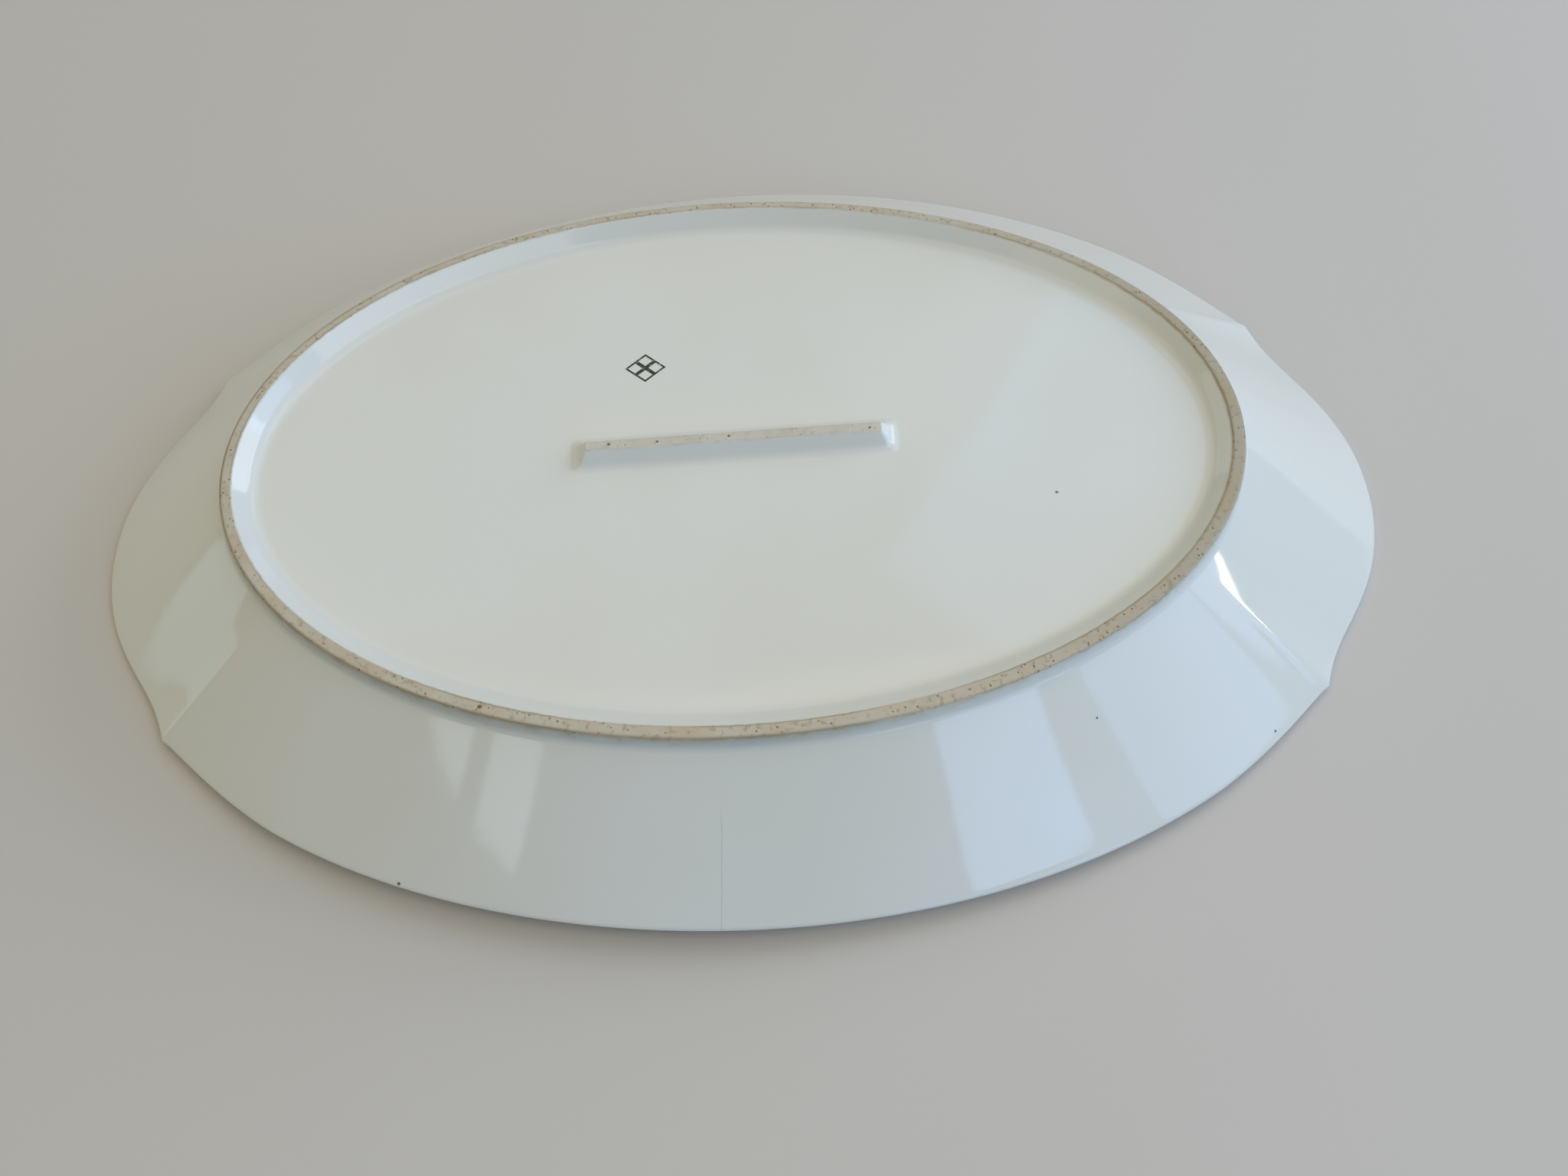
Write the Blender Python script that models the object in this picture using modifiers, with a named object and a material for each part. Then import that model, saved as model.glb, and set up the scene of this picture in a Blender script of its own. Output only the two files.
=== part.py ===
"""Shallow oval porcelain serving dish, modelled upside down: it rests on the rim of its two end
grips, and its foot ring faces up. The long axis lies along X and the origin is the centre of the
outline, at the height of the lowest point of the rim. Sizes are in metres."""
import math

import bmesh
import bpy
from mathutils import Vector

# Driving dimensions
RIM_A = 0.190               # half length of the rim outline
RIM_B = 0.130               # half width of the rim outline
HEIGHT = 0.0432             # rim to bearing face of the foot ring
FOOT_A = 0.14395            # half length over the foot ring
FOOT_B = 0.0925             # half width over the foot ring
FOOT_RISE = 0.0051          # bearing face above the underside of the floor
FLOOR_THICK = 0.0045        # body thickness in the floor and at the top of the wall
LIP_RADIUS = 0.0015         # half the body thickness at the rim, which is rounded

# The rim rests on the table at its two ends, and arches off it along each side. The dish is twisted
# a little, so the arch stands higher in two opposite quarters than in the other two.
CONTACT_ANGLE = math.radians(12.0)  # eccentric angle up to which the rim touches the table
SIDE_LIFT = 0.0058                  # how far the middle of each long side stands off the table
RIM_TWIST = 0.0023                  # added in two quarters and taken away in the other two

# The outline is one ellipse. At each end, between two small cusps, the rim is drawn in from it, and
# it is drawn in a little just past each cusp too, which makes the cusp a small point.
CUSP_ANGLE = math.radians(30.0)     # eccentric angle of a cusp
GRIP_DIP = 0.0034                   # deepest draw-in, close to the cusp
GRIP_DIP_POWER = 2.6                # pushes the draw-in towards the cusp
SIDE_DIP = 0.0010                   # deepest draw-in past the cusp
SIDE_DIP_ANGLE = math.radians(17.0) # how far past the cusp it reaches
SIDE_DIP_POWER = 0.6                # pushes it towards the cusp

# Foot ring section: distance from its outer edge (inwards is negative) and height over the floor.
# It is a flat bearing face, rounded shoulders, a steep outer side and a sloping inner side.
FOOT_SECTION = (
    (-0.0100, 0.0003), (-0.0080, 0.0007), (-0.0060, 0.0021), (-0.0046, 0.0043), (-0.0039, FOOT_RISE),
    (-0.0005, FOOT_RISE), (0.0000, 0.0046), (0.0003, 0.0023), (0.0014, 0.0003),
)

# Support rib in the middle of the foot
RIB_LENGTH = 0.0842         # flat crest
RIB_WIDTH = 0.0032          # flat crest
RIB_SLOPE_RUN = 0.0030      # how far each sloping face reaches out from the crest
RIB_TOP = 0.0427            # a little under the bearing face
RIB_CENTRE = (0.0009, 0.0024)
RIB_TURN = math.radians(1.3)

# Printed lozenge mark
MARK_CENTRE = (-0.0246, 0.0324)
MARK_WIDTH = 0.0120
MARK_DEPTH = 0.0104
MARK_LINE = 0.0014          # width of a printed line, measured along the mark's depth
MARK_FILM = 0.0001

GAP = 0.0003                # between solids that touch
WALL_ROOT = -0.0017         # where the wall starts under the foot ring
WALL_SHOULDER = 0.0005      # where its slope starts
RING_STEPS = 96
SIDE_STEPS = 36
GRIP_STEPS = 24
LIP_STEPS = 5

GLAZE = ("glazed porcelain", (0.80, 0.81, 0.76, 1.0), 0.08)
BISCUIT = ("bare porcelain", (0.55, 0.47, 0.37, 1.0), 0.75)
GREEN_PRINT = ("green underglaze print", (0.05, 0.12, 0.08, 1.0), 0.25)

FLOOR_TOP = HEIGHT - FOOT_RISE
FLOOR_BOTTOM = FLOOR_TOP - FLOOR_THICK


def clear_scene():
    for item in list(bpy.data.objects):
        bpy.data.objects.remove(item, do_unlink=True)


def make_collection(name):
    group = bpy.data.collections.new(name)
    bpy.context.scene.collection.children.link(group)
    return group


def make_material(name, colour, roughness):
    """A dielectric with one colour."""
    material = bpy.data.materials.new(name)
    material.use_nodes = True
    shader = material.node_tree.nodes["Principled BSDF"]
    shader.inputs["Base Color"].default_value = colour
    shader.inputs["Roughness"].default_value = roughness
    shader.inputs["Metallic"].default_value = 0.0
    return material


def add_object(name, data, group, material):
    item = bpy.data.objects.new(name, data)
    item.data.materials.append(material)
    group.objects.link(item)
    return item


def draw_in(angle):
    """How far the rim lies inside the ellipse at this eccentric angle."""
    from_end = abs((angle + math.pi / 2) % math.pi - math.pi / 2)
    if from_end < CUSP_ANGLE:
        return GRIP_DIP * math.sin(math.pi * (from_end / CUSP_ANGLE) ** GRIP_DIP_POWER)
    past_cusp = min(1.0, (from_end - CUSP_ANGLE) / SIDE_DIP_ANGLE)
    return SIDE_DIP * math.sin(math.pi * past_cusp ** SIDE_DIP_POWER)


def rim_point(angle):
    """Outermost point of the rim, in plan."""
    point = Vector((RIM_A * math.cos(angle), RIM_B * math.sin(angle), 0.0))
    return point * (1.0 - draw_in(angle) / point.length)


def rim_lift(angle):
    """Height of the rim over the table: nothing at the two ends, and a low arch along each side."""
    along = math.cos(angle) / math.cos(CONTACT_ANGLE)
    arch = max(0.0, 1.0 - along * along)
    return arch * (SIDE_LIFT + RIM_TWIST * math.sin(2 * angle))


def foot_point(angle):
    return Vector((FOOT_A * math.cos(angle), FOOT_B * math.sin(angle), 0.0))


def foot_normal(angle):
    return Vector((FOOT_B * math.cos(angle), FOOT_A * math.sin(angle), 0.0)).normalized()


def wall_section(angle):
    """Closed section of the sloping wall: outer face, rounded rim, inner face."""
    foot = foot_point(angle)
    across = rim_point(angle) - foot
    outwards = across.normalized()
    root = Vector((WALL_SHOULDER, FLOOR_TOP - FLOOR_THICK / 2))
    lip = Vector((across.length - LIP_RADIUS, rim_lift(angle) + LIP_RADIUS))
    fall = (lip - root).normalized()
    normal = Vector((-fall.y, fall.x))
    profile = [
        Vector((WALL_ROOT, FLOOR_TOP)),
        root + normal * FLOOR_THICK / 2,
        lip + normal * LIP_RADIUS,
    ]
    for step in range(1, LIP_STEPS):
        turn = math.pi * step / LIP_STEPS
        profile.append(lip + normal * LIP_RADIUS * math.cos(turn) + fall * LIP_RADIUS * math.sin(turn))
    profile.append(lip - normal * LIP_RADIUS)
    profile.append(root - normal * FLOOR_THICK / 2)
    profile.append(Vector((WALL_ROOT, FLOOR_BOTTOM)))
    return [foot + outwards * point.x + Vector((0.0, 0.0, point.y)) for point in profile]


def foot_section(angle):
    foot = foot_point(angle)
    normal = foot_normal(angle)
    return [foot + normal * offset + Vector((0.0, 0.0, FLOOR_TOP + rise)) for offset, rise in FOOT_SECTION]


def loft(name, sections, closed, group, material):
    """Skin a row of equal sections; an open row gets a cap at each end."""
    mesh = bpy.data.meshes.new(name)
    build = bmesh.new()
    rings = [[build.verts.new(point) for point in section] for section in sections]
    pairs = list(zip(rings, rings[1:]))
    if closed:
        pairs.append((rings[-1], rings[0]))
    else:
        build.faces.new(rings[0])
        build.faces.new(rings[-1])
    for first, second in pairs:
        for here in range(len(first)):
            after = (here + 1) % len(first)
            build.faces.new((first[here], first[after], second[after], second[here]))
    bmesh.ops.recalc_face_normals(build, faces=build.faces)
    build.to_mesh(mesh)
    build.free()
    item = add_object(name, mesh, group, material)
    mesh.shade_smooth()
    mesh.set_sharp_from_angle(angle=math.radians(35.0))
    return item


def make_wall_part(name, start, end, steps, group, material):
    """The wall between two cusps, short of each by half a gap."""
    clearance = GAP / 2 / math.hypot(FOOT_A * math.sin(CUSP_ANGLE), FOOT_B * math.cos(CUSP_ANGLE))
    first = start + clearance
    span = end - start - 2 * clearance
    sections = [wall_section(first + span * step / steps) for step in range(steps + 1)]
    return loft(name, sections, False, group, material)


def make_foot_ring(group, material):
    sections = [foot_section(math.tau * step / RING_STEPS) for step in range(RING_STEPS)]
    return loft("foot_ring", sections, True, group, material)


def flat_outline(name, outlines, thickness, group, material):
    """A flat plate from closed outlines; one inside another is a hole."""
    curve = bpy.data.curves.new(name, "CURVE")
    curve.dimensions = "2D"
    curve.fill_mode = "BOTH"
    curve.extrude = thickness / 2
    for outline in outlines:
        spline = curve.splines.new("POLY")
        spline.points.add(len(outline) - 1)
        for point, (x, y) in zip(spline.points, outline):
            point.co = (x, y, 0.0, 1.0)
        spline.use_cyclic_u = True
    return add_object(name, curve, group, material)


def make_floor(group, material):
    half_length = FOOT_A + WALL_ROOT - GAP
    half_width = FOOT_B + WALL_ROOT - GAP
    turns = [math.tau * step / RING_STEPS for step in range(RING_STEPS)]
    outline = [(half_length * math.cos(turn), half_width * math.sin(turn)) for turn in turns]
    floor = flat_outline("well_floor", [outline], FLOOR_THICK, group, material)
    floor.location.z = FLOOR_TOP - FLOOR_THICK / 2
    return floor


def make_rib(group, material):
    """A bar whose four sides slope out to its base."""
    mesh = bpy.data.meshes.new("support_rib")
    build = bmesh.new()
    bmesh.ops.create_cube(build, size=1.0)
    height = RIB_TOP - FLOOR_TOP - GAP
    for corner in build.verts:
        spread = RIB_SLOPE_RUN if corner.co.z < 0 else 0.0
        corner.co.x = math.copysign(RIB_LENGTH / 2 + spread, corner.co.x)
        corner.co.y = math.copysign(RIB_WIDTH / 2 + spread, corner.co.y)
        corner.co.z = 0.0 if corner.co.z < 0 else height
    build.to_mesh(mesh)
    build.free()
    rib = add_object("support_rib", mesh, group, material)
    rib.location = (RIB_CENTRE[0], RIB_CENTRE[1], FLOOR_TOP + GAP)
    rib.rotation_euler.z = RIB_TURN
    soften = rib.modifiers.new("soft edges", "BEVEL")
    soften.width = 0.0006
    soften.segments = 2
    return rib


def lozenge(centre_x, centre_y, width, depth):
    return [
        (centre_x - width / 2, centre_y), (centre_x, centre_y - depth / 2),
        (centre_x + width / 2, centre_y), (centre_x, centre_y + depth / 2),
    ]


def make_mark(group, material):
    """A plain lozenge with four smaller lozenges left open in it."""
    open_depth = MARK_DEPTH / 2 - MARK_LINE
    open_width = open_depth * MARK_WIDTH / MARK_DEPTH
    outlines = [lozenge(0.0, 0.0, MARK_WIDTH, MARK_DEPTH)]
    for side_x, side_y in ((-1, 0), (1, 0), (0, -1), (0, 1)):
        outlines.append(lozenge(side_x * MARK_WIDTH / 4, side_y * MARK_DEPTH / 4, open_width, open_depth))
    mark = flat_outline("printed_mark", outlines, MARK_FILM, group, material)
    mark.location = (MARK_CENTRE[0], MARK_CENTRE[1], FLOOR_TOP + 1.5 * MARK_FILM)
    return mark


def main():
    clear_scene()
    dish = make_collection("serving_dish")
    glaze = make_material(*GLAZE)
    biscuit = make_material(*BISCUIT)
    print_green = make_material(*GREEN_PRINT)

    make_floor(dish, glaze)
    make_wall_part("grip_right", -CUSP_ANGLE, CUSP_ANGLE, GRIP_STEPS, dish, glaze)
    make_wall_part("wall_back", CUSP_ANGLE, math.pi - CUSP_ANGLE, SIDE_STEPS, dish, glaze)
    make_wall_part("grip_left", math.pi - CUSP_ANGLE, math.pi + CUSP_ANGLE, GRIP_STEPS, dish, glaze)
    make_wall_part("wall_front", math.pi + CUSP_ANGLE, math.tau - CUSP_ANGLE, SIDE_STEPS, dish, glaze)
    make_foot_ring(dish, biscuit)
    make_rib(dish, biscuit)
    make_mark(dish, print_green)


main()
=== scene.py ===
"""Looks for the oval porcelain serving dish, which lies upside down on the rim of its end grips.

The dish is one glazed casting. Its skin is worked out as one grid of points, from the middle of the
underside, over the foot ring, down the wall, round the rim and back to the middle of the well. The
body and the foot ring are cut from that grid, and share its normals, so no seam shows between them."""
import math

import bpy
import numpy as np
from mathutils import Matrix, Vector


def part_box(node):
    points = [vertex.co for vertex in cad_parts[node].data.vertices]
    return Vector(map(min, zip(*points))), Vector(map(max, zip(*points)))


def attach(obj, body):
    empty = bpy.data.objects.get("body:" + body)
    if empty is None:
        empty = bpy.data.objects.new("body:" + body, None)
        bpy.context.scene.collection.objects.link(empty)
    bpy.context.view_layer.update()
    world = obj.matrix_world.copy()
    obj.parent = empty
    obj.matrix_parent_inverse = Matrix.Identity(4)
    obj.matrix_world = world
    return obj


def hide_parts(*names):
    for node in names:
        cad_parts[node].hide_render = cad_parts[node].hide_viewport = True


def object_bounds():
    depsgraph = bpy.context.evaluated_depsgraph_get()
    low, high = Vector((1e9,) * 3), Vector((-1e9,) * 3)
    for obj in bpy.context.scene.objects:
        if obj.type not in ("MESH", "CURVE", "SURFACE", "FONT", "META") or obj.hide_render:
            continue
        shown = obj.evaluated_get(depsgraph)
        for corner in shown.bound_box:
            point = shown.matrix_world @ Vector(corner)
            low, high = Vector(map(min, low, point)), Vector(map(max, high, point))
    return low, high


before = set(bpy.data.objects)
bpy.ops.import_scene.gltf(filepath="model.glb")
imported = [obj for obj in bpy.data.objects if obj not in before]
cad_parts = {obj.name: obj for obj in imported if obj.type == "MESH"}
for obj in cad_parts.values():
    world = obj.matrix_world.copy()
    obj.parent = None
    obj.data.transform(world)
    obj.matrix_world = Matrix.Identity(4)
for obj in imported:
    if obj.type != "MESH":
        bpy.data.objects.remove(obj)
cad_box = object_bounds()

# Places read from the frame, in metres
FLOOR_LOW, FLOOR_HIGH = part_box("well_floor")
FOOT_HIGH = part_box("foot_ring")[1]
RIB_LOW, RIB_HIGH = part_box("support_rib")
MARK_LOW, MARK_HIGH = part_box("printed_mark")
RIM_A = cad_box[1][0]
RIM_B = cad_box[1][1]
FOOT_TOP = FOOT_HIGH.z
FLOOR_TOP = FLOOR_HIGH.z
FLOOR_THICK = FLOOR_HIGH.z - FLOOR_LOW.z
FOOT_SPREAD = 0.0014                    # how far the ring's foot reaches out past its bearing face
FOOT_A = FOOT_HIGH.x - FOOT_SPREAD
FOOT_B = FOOT_HIGH.y - FOOT_SPREAD

# Rim outline: one ellipse, drawn in between two cusps at each end, and a little just past each cusp
CUSP_ANGLE = math.radians(30.0)
GRIP_DIP = 0.0034
GRIP_DIP_POWER = 2.6
SIDE_DIP = 0.0010
SIDE_DIP_ANGLE = math.radians(17.0)
SIDE_DIP_POWER = 0.6

# Rim height: it rests on the floor at both ends and arches off it along the sides, with a slight twist
CONTACT_ANGLE = math.radians(12.0)
SIDE_LIFT = 0.0058
RIM_TWIST = 0.0023
LIP_RADIUS = 0.0015
WALL_SHOULDER = 0.0005

# Foot ring section, as distances from its outer edge (inwards is negative)
INNER_FOOT = -0.0080                    # where the inner slope would meet the floor
INNER_FOOT_FRONT = -0.0010              # how much further in that is at the middle of the front
CREST_INNER = -0.0032
CREST_LEAN = 0.0006                     # how much wider the crest is in front, and narrower at the back
CREST_OUTER = 0.0001
OUTER_FOOT = 0.0006                     # where the outer side would meet the wall
BARE_OUTER = 0.0002                     # outer edge of the unglazed bearing face
BARE_PAST = 0.0001                      # how far it runs in past the inner edge of the crest
BARE_PAST_RIGHT = 0.0005                # and how much further at the right end
DARK_EDGE = -0.0002                     # middle of the painted shade along its outer edge
DARK_EDGE_SOFT = (0.0005, 0.0009)       # how softly it fades inwards and outwards
DARK_EDGE_AT = math.radians(205.0)      # where along the ring it is strongest
DARK_EDGE_MIDDLE = 0.35                 # its strength a quarter of the way round from there
DARK_EDGE_SWING = 1.6                   # how much that changes round the ring
DARK_EDGE_LEAST = 0.15
INNER_FILLET = 0.0060
INNER_SHOULDER = 0.0012
OUTER_SHOULDER = 0.0010
OUTER_FILLET = 0.0030
WELL_FILLET = 0.0180                    # between the wall and the floor of the well

# How finely the skin is divided
TURNS = 480
FLOOR_RINGS = 30
WALL_RINGS = 26
LIP_STEPS = 10

# Support rib
RIB_TURN = math.radians(1.3)
RIB_CREST = (0.0421, 0.0016)            # half length and half width of its flat crest
RIB_RUN = 0.0030                        # how far its faces slope out
RIB_EDGE = 0.0009                       # radius along its crest
RIB_FILLET = 0.0036                     # radius where it meets the floor
RIB_CORNER = 0.0007                     # radius of its crest's corners, in plan
RIB_CORNER_GROWTH = 0.35                # how fast that radius grows outwards
RIB_BARE_PAST = 0.0001                  # how far its worn face runs out past its crest

# Printed mark: width of its lines, as a share of its half width
MARK_LINE = 0.28
MARK_LIFT = 0.00004                     # how far the print stands off the floor

# Hidden faces under the ring and the rib
BODY_UNDERLAP = 0.0006                  # how far the body passes under the ring
RING_UNDERLAP = 0.0002
RIB_SINK = 0.0003
NEVER_BARE = -0.01                      # depth given to faces that are never seen

# Kiln warp of the floor: it sags a little, unevenly
WARP = 0.00012
WARP_MARGIN = 0.012                     # it ends this far inside the outer edge of the foot ring
WARP_WAVES = ((21.0, 9.0, 0.6), (-13.0, 26.0, 2.1), (34.0, -17.0, 4.0))


# ---------------------------------------------------------------- outline and section

def outline(angles):
    """Foot ellipse, its normal, the way to the rim, its reach, and the rim's height, at each angle."""
    cosine, sine = np.cos(angles), np.sin(angles)
    foot = np.stack([FOOT_A * cosine, FOOT_B * sine], axis=1)
    normal = np.stack([FOOT_B * cosine, FOOT_A * sine], axis=1)
    normal /= np.linalg.norm(normal, axis=1)[:, None]
    rim = np.stack([RIM_A * cosine, RIM_B * sine], axis=1)
    from_end = np.abs((angles + math.pi / 2) % math.pi - math.pi / 2)
    share = np.minimum(from_end / CUSP_ANGLE, 1.0)
    past_cusp = np.clip((from_end - CUSP_ANGLE) / SIDE_DIP_ANGLE, 0.0, 1.0)
    dip = GRIP_DIP * np.sin(math.pi * share ** GRIP_DIP_POWER)
    dip += SIDE_DIP * np.sin(math.pi * past_cusp ** SIDE_DIP_POWER)
    rim *= (1.0 - dip / np.linalg.norm(rim, axis=1))[:, None]
    across = rim - foot
    reach = np.linalg.norm(across, axis=1)
    arch = np.maximum(0.0, 1.0 - (cosine / math.cos(CONTACT_ANGLE)) ** 2)
    lift = arch * (SIDE_LIFT + RIM_TWIST * np.sin(2 * angles))
    return foot, normal, across / reach[:, None], reach, lift


def unit(vectors):
    return vectors / np.linalg.norm(vectors, axis=1)[:, None]


def rounded_corner(before, corner, after, radius, steps):
    """Points of an arc that rounds a corner of the section, at every angle at once."""
    back, ahead = unit(before - corner), unit(after - corner)
    half = np.arccos(np.clip(np.sum(back * ahead, axis=1), -1.0, 1.0)) / 2
    start = corner + back * (radius / np.tan(half))[:, None]
    centre = corner + unit(back + ahead) * (radius / np.sin(half))[:, None]
    spin = np.sign(back[:, 1] * ahead[:, 0] - back[:, 0] * ahead[:, 1]) * (math.pi - 2 * half)
    spoke = start - centre
    points = []
    for step in range(steps + 1):
        turn = spin * step / steps
        cosine, sine = np.cos(turn), np.sin(turn)
        turned = np.stack([spoke[:, 0] * cosine - spoke[:, 1] * sine,
                           spoke[:, 0] * sine + spoke[:, 1] * cosine], axis=1)
        points.append(centre + turned)
    return points


def straight(start, end, steps):
    """Points between two places, without the two ends."""
    return [start + (end - start) * step / steps for step in range(1, steps)]


def front_share(angles):
    """1 at the middle of the front, and 0 along the whole back."""
    return np.maximum(0.0, -np.sin(angles))


def crest_inner(angles):
    return CREST_INNER + CREST_LEAN * np.sin(angles)


def skin_section(angles, reach, lift):
    """Section of the skin from the outer part of the floor to the floor of the well.

    Returns its points, and the numbers of the first and last point of the foot ring."""
    count = len(reach)

    def spot(offset, height):
        return np.stack([np.broadcast_to(offset, count), np.broadcast_to(height, count)], axis=1)

    root = spot(WALL_SHOULDER, FLOOR_TOP - FLOOR_THICK / 2)
    lip = spot(reach - LIP_RADIUS, lift + LIP_RADIUS)
    fall = unit(lip - root)
    face = np.stack([-fall[:, 1], fall[:, 0]], axis=1)
    outer_top = root + face * FLOOR_THICK / 2
    outer_low = lip + face * LIP_RADIUS
    inner_top = root - face * FLOOR_THICK / 2
    inner_low = lip - face * LIP_RADIUS
    slope = (outer_low - outer_top)[:, 1] / (outer_low - outer_top)[:, 0]
    side_foot = spot(OUTER_FOOT, outer_top[:, 1] + slope * (OUTER_FOOT - outer_top[:, 0]))
    well_slope = (inner_low - inner_top)[:, 1] / (inner_low - inner_top)[:, 0]
    well_foot = spot(inner_top[:, 0] + (FLOOR_LOW.z - inner_top[:, 1]) / well_slope, FLOOR_LOW.z)

    inner_start = INNER_FOOT + INNER_FOOT_FRONT * front_share(angles)
    floor_edge = spot(inner_start - INNER_FILLET, FLOOR_TOP)
    inner_foot = spot(inner_start, FLOOR_TOP)
    crest_start = spot(crest_inner(angles), FOOT_TOP)
    crest_end = spot(CREST_OUTER, FOOT_TOP)

    points = rounded_corner(floor_edge, inner_foot, crest_start, INNER_FILLET, 12)
    ring_first = 0
    arc = rounded_corner(inner_foot, crest_start, crest_end, INNER_SHOULDER, 7)
    points += straight(points[-1], arc[0], 5) + arc
    arc = rounded_corner(crest_start, crest_end, side_foot, OUTER_SHOULDER, 7)
    points += straight(points[-1], arc[0], 9) + arc
    arc = rounded_corner(crest_end, side_foot, outer_low, OUTER_FILLET, 10)
    points += straight(points[-1], arc[0], 4) + arc
    ring_last = len(points) - 1
    points += straight(points[-1], outer_low, WALL_RINGS)
    for step in range(LIP_STEPS + 1):
        turn = math.pi * step / LIP_STEPS
        points.append(lip + face * LIP_RADIUS * math.cos(turn) + fall * LIP_RADIUS * math.sin(turn))
    well_middle = spot(well_foot[:, 0] - 2 * WELL_FILLET, FLOOR_LOW.z)
    arc = rounded_corner(inner_low, well_foot, well_middle, WELL_FILLET, 14)
    points += straight(points[-1], arc[0], WALL_RINGS) + arc
    return points, ring_first, ring_last


def warp(x, y):
    """Small uneven sag of the floor, which fades out at the foot ring."""
    wave = sum(np.sin(a * x + b * y + c) for a, b, c in WARP_WAVES)
    fade = np.clip(1.0 - (x / (FOOT_A - WARP_MARGIN)) ** 2 - (y / (FOOT_B - WARP_MARGIN)) ** 2, 0.0, 1.0)
    return WARP * wave * fade * (2.0 - fade)


def build_skin(angles):
    """Rows of the skin, the rows where the foot ring starts and ends, and the points in the middle."""
    foot, normal, outwards, reach, lift = outline(angles)
    points, ring_first, ring_last = skin_section(angles, reach, lift)

    def place(point):
        offset = point[:, :1]
        flat = foot + np.where(offset < 0, normal, outwards) * offset
        return np.concatenate([flat, point[:, 1:]], axis=1)

    rows = [place(point) for point in points]

    def floor_rows(edge, height):
        """Rows from near the middle out to an edge row, thinning towards it."""
        shares = (np.arange(1, FLOOR_RINGS) / FLOOR_RINGS) ** 0.9
        found = []
        for share in shares:
            ring = edge.copy()
            ring[:, :2] *= share
            ring[:, 2] = height + warp(ring[:, 0], ring[:, 1])
            found.append(ring)
        return found

    top = floor_rows(rows[0], FLOOR_TOP)
    bottom = floor_rows(rows[-1], FLOOR_LOW.z)[::-1]
    middle = float(warp(np.zeros(1), np.zeros(1))[0])
    centres = ((0.0, 0.0, FLOOR_TOP + middle), (0.0, 0.0, FLOOR_LOW.z + middle))
    return top + rows + bottom, len(top) + ring_first, len(top) + ring_last, centres


def skin_normals(rows):
    """Normal at each point of the rows, from its neighbours along and across them."""
    grid = np.array(rows)
    across = np.gradient(grid, axis=0)
    along = np.roll(grid, -1, axis=1) - np.roll(grid, 1, axis=1)
    normals = np.cross(along, across)
    normals /= np.maximum(np.linalg.norm(normals, axis=2)[:, :, None], 1e-12)
    if normals[0, :, 2].mean() < 0:
        normals = -normals
    return normals


# ---------------------------------------------------------------- mesh pieces

def mesh_piece(name, points, faces, normals=None):
    mesh = bpy.data.meshes.new(name)
    mesh.from_pydata([tuple(point) for point in points], [], faces)
    mesh.validate()
    mesh.shade_smooth()
    if normals is not None:
        mesh.normals_split_custom_set_from_vertices([tuple(normal) for normal in normals])
    piece = bpy.data.objects.new(name, mesh)
    bpy.context.scene.collection.objects.link(piece)
    return piece


def write_attribute(piece, name, values):
    attribute = piece.data.attributes.new(name, "FLOAT", "POINT")
    attribute.data.foreach_set("value", np.asarray(values, dtype=np.float32))


def ring_faces(row_count, per_row, first=0):
    """Quads between neighbouring rows, each row being a closed ring."""
    faces = []
    for row in range(row_count - 1):
        base = first + row * per_row
        for here in range(per_row):
            after = (here + 1) % per_row
            faces.append((base + here, base + per_row + here, base + per_row + after, base + after))
    return faces


def underlap(first, last, drop, steps=6):
    """Rows that run from one row to another just under the straight line between them."""
    found = []
    for step in range(1, steps):
        share = step / steps
        row = first + (last - first) * share
        row[:, 2] -= drop * math.sin(math.pi * share)
        found.append(row)
    return found


def make_body(rows, normals, ring_first, ring_last, centres):
    """Floor, wall, rim and well as one closed skin that passes under the foot ring."""
    hidden = underlap(rows[ring_first], rows[ring_last], BODY_UNDERLAP)
    upwards = np.tile((0.0, 0.0, 1.0), (TURNS, 1))
    kept = rows[:ring_first + 1] + hidden + rows[ring_last:]
    kept_normals = [*normals[:ring_first + 1], *([upwards] * len(hidden)), *normals[ring_last:]]
    points = np.concatenate(kept)
    faces = ring_faces(len(kept), TURNS)
    last = (len(kept) - 1) * TURNS
    top, bottom = len(points), len(points) + 1
    for here in range(TURNS):
        after = (here + 1) % TURNS
        faces.append((top, here, after))
        faces.append((bottom, last + after, last + here))
    points = np.concatenate([points, centres])
    ends = ((0.0, 0.0, 1.0), (0.0, 0.0, -1.0))
    return mesh_piece("dish_body", points, faces, np.concatenate([*kept_normals, ends]))


def bare_depth(angles, offset):
    """How far inside the unglazed bearing face a point of the ring lies, or less than 0 outside it."""
    right_share = np.maximum(0.0, np.cos(angles))
    inner = crest_inner(angles) - BARE_PAST - BARE_PAST_RIGHT * right_share
    half = (BARE_OUTER - inner) / 2
    return half - np.abs(offset - (BARE_OUTER - half))


def dark_edge(angles, offset):
    """Strength of the painted shade along the outer edge of the ring, which fades on the right."""
    swing = DARK_EDGE_SWING * np.cos(angles - DARK_EDGE_AT)
    along = np.clip(DARK_EDGE_MIDDLE + swing, DARK_EDGE_LEAST, 1.0)
    away = offset - DARK_EDGE
    return along * np.exp(-(away / np.where(away < 0, *DARK_EDGE_SOFT)) ** 2)


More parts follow.
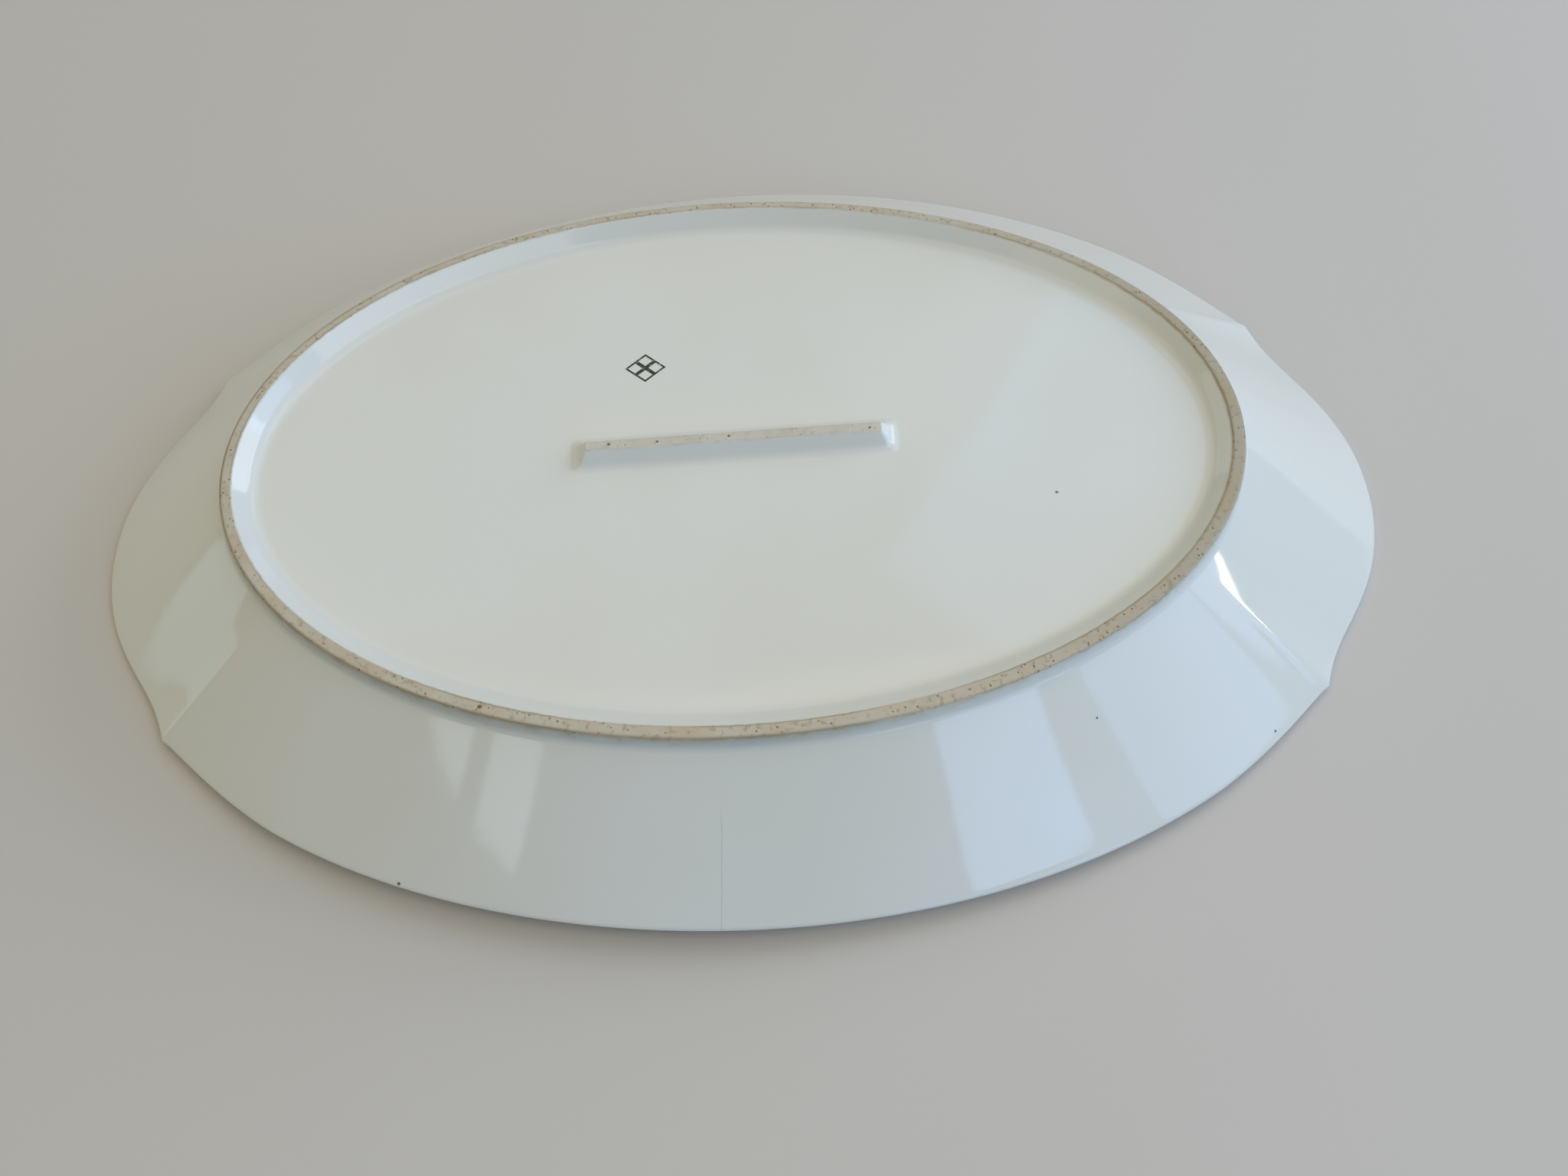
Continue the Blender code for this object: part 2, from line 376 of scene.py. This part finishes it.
def make_foot_ring(rows, normals, ring_first, ring_last, angles):
    """The raised ring: sloping inner side, bearing face and outer side, closed underneath."""
    kept = rows[ring_first:ring_last + 1]
    hidden = underlap(kept[-1], kept[0], RING_UNDERLAP)
    downwards = np.tile((0.0, 0.0, -1.0), (TURNS, 1))
    points = np.concatenate(kept + hidden)
    faces = ring_faces(len(kept) + len(hidden), TURNS)
    last = (len(kept) + len(hidden) - 1) * TURNS
    for here in range(TURNS):
        after = (here + 1) % TURNS
        faces.append((last + here, here, after, last + after))
    found = [*normals[ring_first:ring_last + 1], *([downwards] * len(hidden))]
    piece = mesh_piece("foot_ring", points, faces, np.concatenate(found))
    section = skin_section(angles, *outline(angles)[3:])[0]
    offsets = [point[:, 0] for point in section[:len(kept)]]
    depths = [bare_depth(angles, offset) for offset in offsets]
    darks = [dark_edge(angles, offset) for offset in offsets]
    depths += [np.full(TURNS, NEVER_BARE)] * len(hidden)
    darks += [np.zeros(TURNS)] * len(hidden)
    write_attribute(piece, "bare", np.concatenate(depths) * 1000)
    write_attribute(piece, "dark_edge", np.concatenate(darks))
    return piece


def rectangle(half_length, half_width, radius, steps=7, sides=(40, 3)):
    """Points round a rectangle with rounded corners; each side is divided, for an even mesh."""
    points = []
    corners = ((1, 1, 0), (-1, 1, 1), (-1, -1, 2), (1, -1, 3))
    for side_x, side_y, quarter in corners:
        for step in range(steps + 1):
            turn = math.pi / 2 * (quarter + step / steps)
            points.append((side_x * (half_length - radius) + radius * math.cos(turn),
                           side_y * (half_width - radius) + radius * math.sin(turn)))
        following = corners[(quarter + 1) % 4]
        turn = math.pi / 2 * (quarter + 1)
        start = Vector(points[-1])
        end = Vector((following[0] * (half_length - radius) + radius * math.cos(turn),
                      following[1] * (half_width - radius) + radius * math.sin(turn)))
        parts = sides[0] if quarter in (0, 2) else sides[1]
        points += [tuple(start.lerp(end, part / parts)) for part in range(1, parts)]
    return np.array(points)


def make_rib():
    """A low bar with sloping sides and ends, run into the floor with a fillet."""
    centre = (RIB_LOW + RIB_HIGH) / 2
    height = RIB_HIGH.z - FLOOR_TOP
    spots = [np.array([point]) for point in
             ((-RIB_CREST[1], height), (0.0, height), (RIB_RUN, 0.0), (3 * RIB_RUN, 0.0))]
    edge = rounded_corner(spots[0], spots[1], spots[2], RIB_EDGE, 6)
    fillet = rounded_corner(spots[1], spots[2], spots[3], RIB_FILLET, 8)
    section = [point[0] for point in edge + straight(edge[-1], fillet[0], 6) + fillet]
    turn = Matrix.Rotation(RIB_TURN, 2)
    rows = []
    inside = []
    for out, rise in section:
        radius = RIB_CORNER + RIB_CORNER_GROWTH * max(out, 0.0)
        flat = rectangle(RIB_CREST[0] + out, RIB_CREST[1] + out, radius)
        flat = flat @ np.array(turn).T + np.array((centre.x, centre.y))
        sag = warp(flat[:, 0], flat[:, 1])
        rows.append(np.column_stack([flat, FLOOR_TOP + rise + sag]))
        inside.append(np.full(len(flat), RIB_BARE_PAST - out))
    per_row = len(rows[0])
    sunk = rows[-1].copy()
    sunk[:, 2] -= RIB_SINK
    rows.append(sunk)
    inside.append(np.full(per_row, NEVER_BARE))
    points = np.concatenate(rows)
    faces = ring_faces(len(rows), per_row)
    faces.append(tuple(range(per_row)))
    faces.append(tuple(range(len(points) - 1, len(points) - per_row - 1, -1)))
    piece = mesh_piece("support_rib", points, faces)
    piece.data.set_sharp_from_angle(angle=math.radians(50.0))
    write_attribute(piece, "bare", np.concatenate(inside) * 1000)
    return piece


def make_mark():
    """A plain lozenge with four open lozenges in it, printed on the floor."""
    centre = (MARK_LOW + MARK_HIGH) / 2
    half_width = (MARK_HIGH.x - MARK_LOW.x) / 2
    half_depth = (MARK_HIGH.y - MARK_LOW.y) / 2
    curve = bpy.data.curves.new("printed_mark", "CURVE")
    curve.dimensions = "2D"
    curve.fill_mode = "BOTH"
    curve.extrude = (MARK_HIGH.z - MARK_LOW.z) / 4
    lozenges = [(0.0, 0.0, 1.0)]
    for side_x, side_y in ((-1, 0), (1, 0), (0, -1), (0, 1)):
        lozenges.append((side_x / 2, side_y / 2, 0.5 - MARK_LINE / 2))
    for middle_x, middle_y, size in lozenges:
        spline = curve.splines.new("POLY")
        spline.points.add(3)
        for point, (x, y) in zip(spline.points, ((-1, 0), (0, -1), (1, 0), (0, 1))):
            across = half_width * (middle_x + size * x)
            along = half_depth * (middle_y + size * y)
            point.co = (across, along, 0.0, 1.0)
        spline.use_cyclic_u = True
    source = bpy.data.objects.new("printed_mark_outline", curve)
    bpy.context.scene.collection.objects.link(source)
    height = FLOOR_TOP + float(warp(centre.x, centre.y)) + MARK_LIFT
    source.location = (centre.x, centre.y, height)
    bpy.context.view_layer.update()
    evaluated = source.evaluated_get(bpy.context.evaluated_depsgraph_get())
    mesh = bpy.data.meshes.new_from_object(evaluated)
    mesh.transform(source.matrix_world)
    piece = bpy.data.objects.new("printed_mark", mesh)
    bpy.context.scene.collection.objects.link(piece)
    bpy.data.objects.remove(source)
    return piece


# ---------------------------------------------------------------- materials

class Nodes:
    """A material's node tree, built by short calls."""

    def __init__(self, name):
        self.material = bpy.data.materials.new(name)
        self.material.use_nodes = True
        self.tree = self.material.node_tree
        self.shader = self.tree.nodes["Principled BSDF"]
        self.place = self.add("ShaderNodeTexCoord").outputs["Object"]

    def add(self, kind, inputs=(), **settings):
        made = self.tree.nodes.new(kind)
        for name, value in settings.items():
            setattr(made, name, value)
        for key, value in dict(inputs).items():
            self.put(made.inputs[key], value)
        return made

    def put(self, socket, value):
        if isinstance(value, bpy.types.NodeSocket):
            self.tree.links.new(value, socket)
        else:
            socket.default_value = value

    def set(self, **inputs):
        for name, value in inputs.items():
            self.put(self.shader.inputs[name.replace("_", " ")], value)

    def math(self, operation, first, second=0.0, clamp=False):
        made = self.add("ShaderNodeMath", operation=operation, use_clamp=clamp)
        self.put(made.inputs[0], first)
        self.put(made.inputs[1], second)
        return made.outputs[0]

    def ramp(self, value, low, high, out_low=0.0, out_high=1.0):
        inputs = {"Value": value, "From Min": low, "From Max": high}
        inputs.update({"To Min": out_low, "To Max": out_high})
        return self.add("ShaderNodeMapRange", inputs, interpolation_type="SMOOTHSTEP").outputs["Result"]

    def noise(self, scale, detail=2.0, roughness=0.5, place=None):
        inputs = {"Vector": place or self.place, "Scale": scale, "Detail": detail, "Roughness": roughness}
        return self.add("ShaderNodeTexNoise", inputs).outputs["Fac"]

    def mix(self, share, first, second):
        made = self.add("ShaderNodeMix", data_type="RGBA")
        self.put(made.inputs["Factor"], share)
        self.put(made.inputs["A"], first)
        self.put(made.inputs["B"], second)
        return made.outputs["Result"]

    def bump(self, height, distance, normal=None):
        inputs = {"Height": height, "Distance": distance, "Strength": 1.0}
        if normal is not None:
            inputs["Normal"] = normal
        return self.add("ShaderNodeBump", inputs).outputs["Normal"]

    def attribute(self, name):
        return self.add("ShaderNodeAttribute", attribute_name=name).outputs["Fac"]


GLAZE_PALE = (0.80, 0.80, 0.745, 1.0)
GLAZE_CREAM = (0.775, 0.765, 0.69, 1.0)
SPECK_BROWN = (0.09, 0.065, 0.045, 1.0)
PIT_BROWN = (0.24, 0.16, 0.10, 1.0)
# colour of the painted shade on the glaze along the ring's outer edge
EDGE_SHADE_GREEN = (0.38, 0.42, 0.38, 1.0)
CRACK_BROWN = (0.42, 0.34, 0.26, 1.0)
BARE_TAN = (0.57, 0.475, 0.34, 1.0)
BARE_GREY = (0.60, 0.545, 0.435, 1.0)
# brown of the stains, dirt and freckles, and also of the painted shade along the ring's outer edge
STAIN_AND_SHADE_BROWN = (0.30, 0.25, 0.155, 1.0)
PRINT_GREEN = (0.010, 0.030, 0.020, 1.0)
FLOOR_PALE = (0.63, 0.593, 0.545, 1.0)

GLAZE_ROUGHNESS = 0.06
GLAZE_IOR = 1.52
THIN_GLAZE_ROUGHNESS = 0.07             # on the foot ring and the rib
THIN_GLAZE_IOR = 1.5
BARE_ROUGHNESS = 0.69

# Iron specks in the glaze, on the foot and along the rib: place and radius, in metres
SPECKS = (
    ((0.0901, -0.0191, 0.0381), 0.0006),
    ((0.0938, -0.0842, 0.0282), 0.0004),
    ((0.1462, -0.0794, 0.0052), 0.0005),
    ((-0.0918, -0.1132, 0.0085), 0.0006),
    ((-0.0657, -0.0800, 0.0432), 0.0007),
    ((0.0186, 0.0839, 0.0395), 0.0005),
    ((-0.0342, 0.0018, 0.0427), 0.0006),
    ((-0.0205, 0.0019, 0.0427), 0.0005),
    ((-0.0002, 0.0026, 0.0427), 0.0005),
    ((0.0396, 0.0030, 0.0427), 0.0005),
)

# A hairline crack runs down the middle of the front wall
CRACK_X = -0.0048
CRACK_LEAN = 0.06
CRACK_HALF = 0.00022
CRACK_TOP = -0.1030                     # y where it starts
CRACK_FADE = 0.006                      # length over which it starts
CRACK_WANDER = 0.0012
CRACK_STRENGTH = 0.26


def glaze_colour(nodes):
    """Slightly uneven cream white."""
    return nodes.mix(nodes.ramp(nodes.noise(9.0, 3.0), 0.35, 0.65), GLAZE_PALE, GLAZE_CREAM)


def add_crack(nodes, colour):
    """A faint brown hairline that wanders a little on its way to the rim."""
    axes = nodes.add("ShaderNodeSeparateXYZ", {"Vector": nodes.place}).outputs
    wander = nodes.math("MULTIPLY", nodes.math("SUBTRACT", nodes.noise(90.0, 3.0), 0.5), CRACK_WANDER)
    lean = nodes.math("MULTIPLY", axes["Y"], CRACK_LEAN)
    middle = nodes.math("ADD", lean, CRACK_X - CRACK_TOP * CRACK_LEAN)
    away = nodes.math("SUBTRACT", nodes.math("SUBTRACT", axes["X"], middle), wander)
    line = nodes.ramp(nodes.math("ABSOLUTE", away), CRACK_HALF, CRACK_HALF / 3, 0.0, CRACK_STRENGTH)
    share = nodes.math("MULTIPLY", line, nodes.ramp(axes["Y"], CRACK_TOP, CRACK_TOP - CRACK_FADE))
    return nodes.mix(share, colour, CRACK_BROWN)


def add_specks(nodes, colour):
    """A few dark iron specks."""
    for centre, radius in SPECKS:
        inputs = {0: nodes.place, 1: centre}
        distance = nodes.add("ShaderNodeVectorMath", inputs, operation="DISTANCE").outputs["Value"]
        share = nodes.ramp(distance, radius * 0.6, radius, 0.85, 0.0)
        colour = nodes.mix(share, colour, SPECK_BROWN)
    return colour


def glaze_normal(nodes):
    """Faint long waves and a finer orange peel."""
    waves = nodes.bump(nodes.noise(22.0, 1.0), 0.00012)
    return nodes.bump(nodes.noise(160.0, 1.5), 0.000012, waves)


def set_glaze_gloss(nodes):
    nodes.set(Roughness=GLAZE_ROUGHNESS, IOR=GLAZE_IOR)


def make_glaze():
    nodes = Nodes("glaze")
    colour = add_specks(nodes, add_crack(nodes, glaze_colour(nodes)))
    nodes.set(Base_Color=colour, Normal=glaze_normal(nodes))
    set_glaze_gloss(nodes)
    return nodes.material


def pit_share(nodes):
    """Small pits in some of the cells of a fine grid, more of them in some patches than in others."""
    cells = nodes.add("ShaderNodeTexVoronoi", {"Vector": nodes.place, "Scale": 950.0, "Randomness": 1.0})
    pit = nodes.ramp(cells.outputs["Distance"], 0.36, 0.14)
    picked = nodes.add("ShaderNodeSeparateColor", {"Color": cells.outputs["Color"]}).outputs["Red"]
    patches = nodes.ramp(nodes.noise(16.0, 2.0), 0.4, 0.6, 0.96, 0.80)
    return nodes.math("MULTIPLY", pit, nodes.math("GREATER_THAN", picked, patches))


def bare_body(nodes, ragged, dark, pit):
    """Colour of the unglazed body: stained along its edges, dirtier on the right, freckled and pitted,
    with painted shade along its outer edge.
    """
    body = nodes.mix(nodes.ramp(nodes.noise(70.0, 4.0, 0.6), 0.35, 0.68), BARE_GREY, BARE_TAN)
    edge = nodes.math("MULTIPLY", nodes.ramp(ragged, -0.1, 0.25), nodes.ramp(ragged, 0.8, 0.3))
    stain = nodes.math("MULTIPLY", edge, nodes.ramp(nodes.noise(25.0, 3.0), 0.42, 0.62, 0.15, 0.8))
    along = nodes.add("ShaderNodeSeparateXYZ", {"Vector": nodes.place}).outputs["X"]
    dirt = nodes.ramp(along, 0.05, 0.14, 0.0, 0.38)
    freckles = nodes.ramp(nodes.noise(620.0, 2.0), 0.54, 0.70, 0.0, 0.5)
    # painted shade: the bare face darkens to brown along its outer edge, most on the front left
    outer = nodes.math("MULTIPLY", dark, nodes.ramp(nodes.noise(60.0, 3.0), 0.3, 0.7, 0.55, 0.95))
    for share in (stain, dirt, freckles, outer):
        body = nodes.mix(share, body, STAIN_AND_SHADE_BROWN)
    return nodes.mix(nodes.math("MULTIPLY", pit, 0.9), body, PIT_BROWN)


def make_foot_surface(name, cover):
    """Glaze that thins out on a bearing face. Cover is the share of the bearing face that is bare.

    The bare attribute is the depth inside the face in millimetres, and dark_edge is the share of painted
    shade along the outer edge."""
    nodes = Nodes(name)
    ragged = nodes.math("MULTIPLY", nodes.noise(300.0, 3.0), 0.5)
    ragged = nodes.math("ADD", nodes.attribute("bare"), ragged)
    ragged = nodes.math("SUBTRACT", ragged, 0.25)
    bare = nodes.ramp(ragged, -0.35, 0.5, 0.0, cover)
    dark = nodes.attribute("dark_edge")
    pit = pit_share(nodes)
    body = bare_body(nodes, ragged, dark, pit)
    # painted shade: the glaze darkens to green-grey along the ring's outer edge
    glazed = nodes.mix(nodes.math("MULTIPLY", dark, 0.6), glaze_colour(nodes), EDGE_SHADE_GREEN)
    colour = add_specks(nodes, nodes.mix(bare, glazed, body))
    rough = nodes.math("MULTIPLY", bare, BARE_ROUGHNESS - THIN_GLAZE_ROUGHNESS)
    rough = nodes.math("ADD", rough, THIN_GLAZE_ROUGHNESS)
    grain = nodes.math("MULTIPLY", nodes.noise(900.0, 4.0, 0.6), 0.25)
    relief = nodes.math("MULTIPLY", nodes.math("SUBTRACT", grain, pit), bare)
    relief = nodes.math("SUBTRACT", relief, nodes.math("MULTIPLY", bare, 0.4))
    nodes.set(Base_Color=colour, Roughness=rough, IOR=THIN_GLAZE_IOR)
    nodes.set(Normal=nodes.bump(relief, 0.00016, glaze_normal(nodes)))
    return nodes.material


def make_print():
    """Dark green print under the glaze, a little uneven."""
    nodes = Nodes("green_print")
    worn = nodes.ramp(nodes.noise(900.0, 3.0, 0.6), 0.52, 0.74, 0.0, 0.35)
    nodes.set(Base_Color=nodes.mix(worn, PRINT_GREEN, GLAZE_PALE), Normal=glaze_normal(nodes))
    set_glaze_gloss(nodes)
    return nodes.material


def make_floor_material():
    nodes = Nodes("pale_floor")
    nodes.set(Base_Color=FLOOR_PALE, Roughness=0.85)
    return nodes.material


# ---------------------------------------------------------------- stage, lights, camera

STAGE_HALF = 1.4                        # half the width of the studio floor, in metres


def make_floor():
    corners = [(x * STAGE_HALF, y * STAGE_HALF, 0.0) for x, y in ((-1, -1), (1, -1), (1, 1), (-1, 1))]
    floor = mesh_piece("studio_floor", corners, [(0, 1, 2, 3)])
    floor.data.materials.append(make_floor_material())


# Soft boxes: name, azimuth and elevation in degrees, width and height in metres, power in watts, colour
LIGHT_DISTANCE = 2.0
LIGHT_AIM = Vector((0.0, 0.0, 0.03))
LIGHTS = (
    ("ceiling", 0, 90, (2.0, 2.0), 6.6, (1.0, 0.92, 0.74)),
    ("ceiling_back", 90, 55, (1.8, 1.45), 5.0, (1.0, 0.96, 0.88)),
    ("ceiling_left", 200, 55, (1.4, 1.2), 3.9, (1.0, 0.69, 0.10)),
    ("window_front_right", 315, 50, (1.4, 1.2), 7.6, (0.98, 1.0, 1.0)),
    ("window_back_right", 45, 48, (1.4, 1.2), 5.1, (0.22, 0.52, 1.0)),
    ("window_right", 2, 24, (1.1, 0.9), 6.6, (0.38, 0.61, 1.0)),
    ("window_right_low", 333, 24, (0.85, 0.9), 4.6, (0.30, 0.53, 1.0)),
    ("window_right_rear", 32, 22, (1.1, 1.0), 11.0, (0.87, 0.92, 1.0)),
    ("window_front", 304, 28, (0.50, 0.46), 2.4, (0.35, 0.57, 1.0)),
    ("window_far_left", 224, 31, (0.26, 0.20), 0.30, (0.80, 0.92, 1.0)),
    ("window_far_right", 235, 31, (0.22, 0.20), 0.26, (0.80, 0.92, 1.0)),
    ("sky_front", 300, 8, (1.2, 0.5), 6.0, (0.20, 0.53, 1.0)),
    ("sky_back_left", 150, 12, (2.2, 0.9), 6.0, (0.66, 0.89, 1.0)),
    ("window_glint", 357, 13, (0.14, 0.16), 0.9, (1.0, 0.98, 0.92)),
)
WORLD_COLOUR = (0.100, 0.098, 0.082, 1.0)


def soft_light(name, azimuth, elevation, size, power, colour):
    light = bpy.data.lights.new(name, "AREA")
    light.shape = "RECTANGLE"
    light.size, light.size_y = size
    light.energy = power
    light.color = colour
    turn, rise = math.radians(azimuth), math.radians(elevation)
    away = Vector((math.cos(rise) * math.cos(turn), math.cos(rise) * math.sin(turn), math.sin(rise)))
    lamp = bpy.data.objects.new(name, light)
    lamp.location = LIGHT_AIM + away * LIGHT_DISTANCE
    lamp.rotation_euler = (-away).to_track_quat("-Z", "Y").to_euler()
    lamp.visible_camera = False
    bpy.context.scene.collection.objects.link(lamp)


def make_lights():
    world = bpy.data.worlds.new("studio")
    world.use_nodes = True
    background = world.node_tree.nodes["Background"]
    background.inputs["Color"].default_value = WORLD_COLOUR
    background.inputs["Strength"].default_value = 1.0
    bpy.context.scene.world = world
    for light in LIGHTS:
        soft_light(*light)


CAMERA_AIM = Vector((0.0129, -0.0224, 0.0))
CAMERA_DISTANCE = 0.488
CAMERA_AZIMUTH = math.radians(1.55)
CAMERA_ELEVATION = math.radians(58.50)
CAMERA_ROLL = math.radians(-4.15)
CAMERA_LENS = 37.8


def make_camera():
    camera = bpy.data.cameras.new("camera")
    camera.lens = CAMERA_LENS
    camera.sensor_width = 36.0
    camera.clip_start = 0.01
    flat = math.cos(CAMERA_ELEVATION)
    towards = Vector((math.sin(CAMERA_AZIMUTH) * flat, -math.cos(CAMERA_AZIMUTH) * flat,
                      math.sin(CAMERA_ELEVATION)))
    right = Vector((0.0, 0.0, 1.0)).cross(towards).normalized()
    up = towards.cross(right)
    turned = Matrix((right, up, towards)).transposed() @ Matrix.Rotation(CAMERA_ROLL, 3, "Z")
    holder = bpy.data.objects.new("camera", camera)
    holder.matrix_world = Matrix.Translation(CAMERA_AIM + towards * CAMERA_DISTANCE) @ turned.to_4x4()
    bpy.context.scene.collection.objects.link(holder)
    bpy.context.scene.camera = holder


def finish_piece(piece, material, slot, *nodes):
    piece.data.materials.clear()
    piece.data.materials.append(material)
    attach(piece, "root")
    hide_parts(*nodes)


def main():
    angles = np.linspace(0.0, math.tau, TURNS, endpoint=False)
    rows, ring_first, ring_last, centres = build_skin(angles)
    normals = skin_normals(rows)

    bpy.context.scene.view_settings.view_transform = "Standard"
    glaze = make_glaze()
    body = make_body(rows, normals, ring_first, ring_last, centres)
    finish_piece(body, glaze, "glaze", "well_floor", "wall_front", "wall_back", "grip_left", "grip_right")
    foot_ring = make_foot_ring(rows, normals, ring_first, ring_last, angles)
    finish_piece(foot_ring, make_foot_surface("glaze_and_bare_ring", 1.0), "biscuit", "foot_ring")
    finish_piece(make_rib(), make_foot_surface("glaze_and_worn_rib", 0.6), "biscuit", "support_rib")
    finish_piece(make_mark(), make_print(), "print", "printed_mark")
    make_floor()
    make_lights()
    make_camera()


main()
